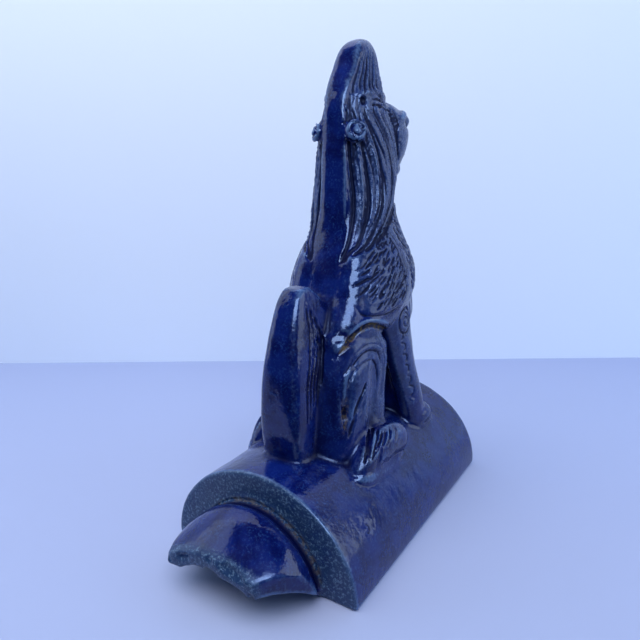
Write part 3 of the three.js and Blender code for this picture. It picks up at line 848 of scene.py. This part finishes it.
def measure(field, soil, mesh):
    """Writes relief, dirt, thin glaze and dullness to the mesh, as attributes of its points."""
    points = np.empty(3 * len(mesh.vertices))
    mesh.vertices.foreach_get("co", points)
    points = points.reshape(-1, 3) / MM
    fine = field.sample(points, blurred(field.value, FINE_BLUR))
    broad = field.sample(points, blurred(field.value, BROAD_BLUR))
    for name, value in (
        ("relief", fine / FINE_HEIGHT),
        ("swell", broad / BROAD_HEIGHT),
        ("soil", field.sample(points, soil)),
        ("bare", thin_glaze(points)),
        ("dust", dusty_glaze(points)),
    ):
        data = mesh.attributes.new(name, "FLOAT", "POINT")
        data.data.foreach_set("value", np.clip(value, -1, 1).astype(np.float32))


measure(field, soil, skin)


# Glaze

class Nodes:
    """Short ways to add shader nodes to a material."""

    def __init__(self, material):
        material.use_nodes = True
        self.tree = material.node_tree
        self.shader = self.tree.nodes["Principled BSDF"]
        self.place = self.tree.nodes.new("ShaderNodeTexCoord").outputs["Object"]

    def link(self, socket, value):
        """Joins a socket to another, or gives it a value."""
        if isinstance(value, bpy.types.NodeSocket):
            self.tree.links.new(value, socket)
        elif isinstance(value, tuple) and len(value) == 3 and socket.type == "RGBA":
            socket.default_value = (*value, 1)
        else:
            socket.default_value = value

    def noise(self, size, detail=3.0, rough=0.55):
        """Noise with lumps of about a size in millimetres."""
        node = self.tree.nodes.new("ShaderNodeTexNoise")
        node.inputs["Scale"].default_value = 1 / (size * MM)
        node.inputs["Detail"].default_value = detail
        node.inputs["Roughness"].default_value = rough
        self.link(node.inputs["Vector"], self.place)
        return node.outputs["Fac"]

    def cells(self, size):
        """The distance from the middle of the nearest of many cells of about a size in millimetres."""
        node = self.tree.nodes.new("ShaderNodeTexVoronoi")
        node.inputs["Scale"].default_value = 1 / (size * MM)
        self.link(node.inputs["Vector"], self.place)
        return node.outputs["Distance"]

    def ramp(self, value, low, high, start=0.0, end=1.0):
        """A smooth step of a value from low to high."""
        node = self.tree.nodes.new("ShaderNodeMapRange")
        node.interpolation_type = "SMOOTHSTEP"
        for name, v in (
            ("Value", value), ("From Min", low), ("From Max", high), ("To Min", start), ("To Max", end),
        ):
            self.link(node.inputs[name], v)
        return node.outputs["Result"]

    def math(self, kind, a, b=0.0):
        node = self.tree.nodes.new("ShaderNodeMath")
        node.operation = kind
        self.link(node.inputs[0], a)
        self.link(node.inputs[1], b)
        return node.outputs[0]

    def mix(self, share, a, b):
        """Colour a, with a share of colour b over it."""
        node = self.tree.nodes.new("ShaderNodeMix")
        node.data_type = "RGBA"
        self.link(node.inputs[0], share)
        self.link(node.inputs[6], a)
        self.link(node.inputs[7], b)
        return node.outputs[2]

    def attribute(self, name):
        node = self.tree.nodes.new("ShaderNodeAttribute")
        node.attribute_name = name
        return node.outputs["Fac"]

    def bump(self, height, distance, strength, under=None):
        """A normal that a height tilts. The distance is in millimetres."""
        node = self.tree.nodes.new("ShaderNodeBump")
        node.inputs["Strength"].default_value = strength
        node.inputs["Distance"].default_value = distance * MM
        self.link(node.inputs["Height"], height)
        if under is not None:
            self.link(node.inputs["Normal"], under)
        return node.outputs["Normal"]


# Thick glaze, its lighter clouds, and its flecks
DEEP = (0.0008, 0.0026, 0.062)
COBALT = (0.0024, 0.0105, 0.118)
SPECKLE = (0.0130, 0.0460, 0.200)

# Glaze pooled dark in a crease plus painted shade, worn thin on a ridge plus painted highlight, or gone dull
POOLED_AND_SHADE = (0.0008, 0.0020, 0.028)
WORN_AND_HIGHLIGHT = (0.0900, 0.1750, 0.3700)
DUSTED = (0.0300, 0.0680, 0.2000)

# Thin glaze over bare clay, and its specks
SLATE = (0.0095, 0.0360, 0.1150)
PALE = (0.1300, 0.2300, 0.3700)

SOIL = (0.1300, 0.0950, 0.0400)
GLAZE_IOR = 1.47


def glaze():
    """The material of the whole beast. Each layer of colour lies over the one before."""
    material = bpy.data.materials.new("cobalt_glaze")
    n = Nodes(material)
    relief = n.attribute("relief")
    swell = n.attribute("swell")
    soil = n.attribute("soil")
    bare = n.attribute("bare")
    dust = n.attribute("dust")
    color = n.mix(n.ramp(n.noise(14), 0.38, 0.62), DEEP, COBALT)
    grains = n.ramp(n.noise(1.4, 4, 0.7), 0.48, 0.68)
    fleck = n.math("MULTIPLY", grains, n.ramp(n.noise(9), 0.35, 0.65, 0.2, 0.8))
    color = n.mix(fleck, color, SPECKLE)
    color = n.mix(n.ramp(n.cells(1.6), 0.2, 0.05, 0.0, 0.12), color, SPECKLE)
    dusted = n.math("MULTIPLY", dust, n.ramp(n.noise(2.4, 5, 0.65), 0.36, 0.62, 0.35, 1.0))
    color = n.mix(dusted, color, DUSTED)
    # Creases and broad hollows go near-black: partly glaze pooled thick there, partly painted shade
    pooled_and_shade = n.ramp(n.math("ADD", relief, n.math("MULTIPLY", swell, 0.4)), -0.14, -0.75, 0.0, 0.92)
    color = n.mix(pooled_and_shade, color, POOLED_AND_SHADE)
    # Ridges and rims go lighter: partly glaze worn thin there, partly painted highlight
    ragged = n.math("ADD", relief, n.math("MULTIPLY", n.math("SUBTRACT", n.noise(1.8), 0.5), 0.6))
    worn_and_highlight = n.ramp(ragged, 0.2, 0.7, 0.0, 0.8)
    color = n.mix(worn_and_highlight, color, WORN_AND_HIGHLIGHT)
    thin = n.math("MULTIPLY", bare, n.ramp(n.noise(6.0, 5, 0.65), 0.3, 0.6, 0.6, 1.0))
    color = n.mix(thin, color, SLATE)
    specks = n.math("MULTIPLY", bare, n.ramp(n.noise(1.6, 6, 0.75), 0.5, 0.63, 0.0, 0.8))
    color = n.mix(specks, color, PALE)
    dirt = n.math("MULTIPLY", soil, n.ramp(n.noise(2.5, 4), 0.42, 0.6))
    color = n.mix(dirt, color, SOIL)
    n.link(n.shader.inputs["Base Color"], color)
    rough = n.ramp(n.noise(20), 0.4, 0.65, 0.1, 0.2)
    rough = n.math("ADD", rough, n.math("MULTIPLY", bare, 0.25))
    rough = n.math("ADD", rough, n.math("MULTIPLY", dusted, 0.22))
    rough = n.math("ADD", rough, n.math("MULTIPLY", dirt, 0.4))
    rough = n.math("ADD", rough, n.math("MULTIPLY", pooled_and_shade, 0.25))
    n.link(n.shader.inputs["Roughness"], rough)
    # Creases also lose most of their reflection, as painted shade
    n.link(n.shader.inputs["Specular IOR Level"], n.ramp(pooled_and_shade, 0.05, 0.7, 0.5, 0.12))
    n.shader.inputs["IOR"].default_value = GLAZE_IOR
    ripple = n.bump(n.noise(5, 2), 0.45, 0.6)
    peel = n.bump(n.noise(1.3, 3), 0.06, 0.5, ripple)
    grain = n.math("MULTIPLY", n.math("MAXIMUM", bare, n.math("MULTIPLY", dust, 0.5)), n.noise(0.7, 4, 0.7))
    n.link(n.shader.inputs["Normal"], n.bump(grain, 0.25, 0.6, peel))
    return material


skin.materials.clear()
skin.materials.append(glaze())
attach(beast, "root")
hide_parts(NODE)


# Stage

# The camera, as fitted to the photo. Angles are in radians.
CAMERA_PLACE = (-185.5, 294.8, 225.4)
CAMERA_YAW = -0.57414756
CAMERA_PITCH = 0.25718072
CAMERA_ROLL = -0.00893152
FOCAL_PIXELS = 568.1
IMAGE_PIXELS = 640
SENSOR = 36.0

# The cloth: where its floor starts and its wall stands, in millimetres ahead of the camera's foot
FLOOR_EDGE = 190.0
WALL_DISTANCE = 662.0

# How far the cloth reaches to each side and up, in metres
CLOTH_REACH = 2
CLOTH_RISE = 1.2

WORLD_COLOR = (0.25, 0.52, 1.0, 1)
WORLD_STRENGTH = 0.1


def camera():
    data = bpy.data.cameras.new("camera")
    data.sensor_width = SENSOR
    data.lens = FOCAL_PIXELS * SENSOR / IMAGE_PIXELS
    data.clip_start = 0.01
    data.clip_end = 20
    ahead = Vector((
        -math.sin(CAMERA_YAW) * math.cos(CAMERA_PITCH),
        -math.cos(CAMERA_YAW) * math.cos(CAMERA_PITCH),
        -math.sin(CAMERA_PITCH),
    ))
    right = Vector((-math.cos(CAMERA_YAW), math.sin(CAMERA_YAW), 0))
    up = right.cross(ahead)
    c, s = math.cos(CAMERA_ROLL), math.sin(CAMERA_ROLL)
    right, up = c * right + s * up, c * up - s * right
    out = bpy.data.objects.new("camera", data)
    turn = Matrix((right, up, -ahead)).transposed().to_4x4()
    out.matrix_world = Matrix.Translation(Vector(CAMERA_PLACE) * MM) @ turn
    bpy.context.scene.collection.objects.link(out)
    bpy.context.scene.camera = out


def plain(name, color, roughness):
    """A plain material."""
    material = bpy.data.materials.new(name)
    material.use_nodes = True
    shader = material.node_tree.nodes["Principled BSDF"]
    shader.inputs["Base Color"].default_value = (*color, 1)
    shader.inputs["Roughness"].default_value = roughness
    return material


def panel(name, corners, material):
    """A flat sheet of the stage."""
    mesh = bpy.data.meshes.new(name)
    mesh.from_pydata(corners, [], [(0, 1, 2, 3)])
    mesh.materials.append(material)
    out = bpy.data.objects.new(name, mesh)
    bpy.context.scene.collection.objects.link(out)


def lamp(name, place, aim, size, power, color):
    """A soft lamp at a place, turned to an aim, both in millimetres. Its size is in metres."""
    data = bpy.data.lights.new(name, "AREA")
    data.shape = "RECTANGLE"
    data.size, data.size_y = size
    data.energy = power
    data.color = color
    out = bpy.data.objects.new(name, data)
    out.location = Vector(place) * MM
    out.rotation_euler = (Vector(aim) * MM - out.location).to_track_quat("-Z", "Y").to_euler()
    bpy.context.scene.collection.objects.link(out)
    return out


def stage():
    floor = plain("floor_cloth", (0.36, 0.43, 0.65), 0.85)
    wall = plain("wall_cloth", (0.74, 0.85, 1.0), 0.9)
    heading = Vector((-math.sin(CAMERA_YAW), -math.cos(CAMERA_YAW), 0))
    across = Vector((-math.cos(CAMERA_YAW), math.sin(CAMERA_YAW), 0))
    eye = Vector((CAMERA_PLACE[0], CAMERA_PLACE[1], 0)) * MM
    foot = eye + heading * WALL_DISTANCE * MM
    edge = eye + heading * FLOOR_EDGE * MM
    reach = CLOTH_REACH * across
    rise = Vector((0, 0, CLOTH_RISE))
    panel("floor", [edge - reach, edge + reach, foot + reach, foot - reach], floor)
    panel("wall", [foot - reach, foot + reach, foot + reach + rise, foot - reach + rise], wall)
    window = lamp("window", (-620, 660, 790), (-20, 5, 145), (0.85, 0.6), 22, (0.38, 0.57, 1.0))
    window.visible_diffuse = False
    lamp("left_card", (850, 50, 520), (0, 0, 100), (1.3, 1.1), 8, (0.70, 0.84, 1.0))
    lamp("right_card", (-900, -350, 420), (0, 0, 120), (0.8, 0.8), 5, (0.66, 0.80, 1.0))
    wash = lamp("wash", (20, 260, 950), (174, -261, 360), (1.2, 0.9), 10.5, (1.0, 0.96, 0.99))
    wash.visible_glossy = False
    world = bpy.data.worlds.new("world")
    bpy.context.scene.world = world
    world.use_nodes = True
    sky = world.node_tree.nodes["Background"]
    sky.inputs["Color"].default_value = WORLD_COLOR
    sky.inputs["Strength"].default_value = WORLD_STRENGTH
    bpy.context.scene.view_settings.view_transform = "Standard"


camera()
stage()
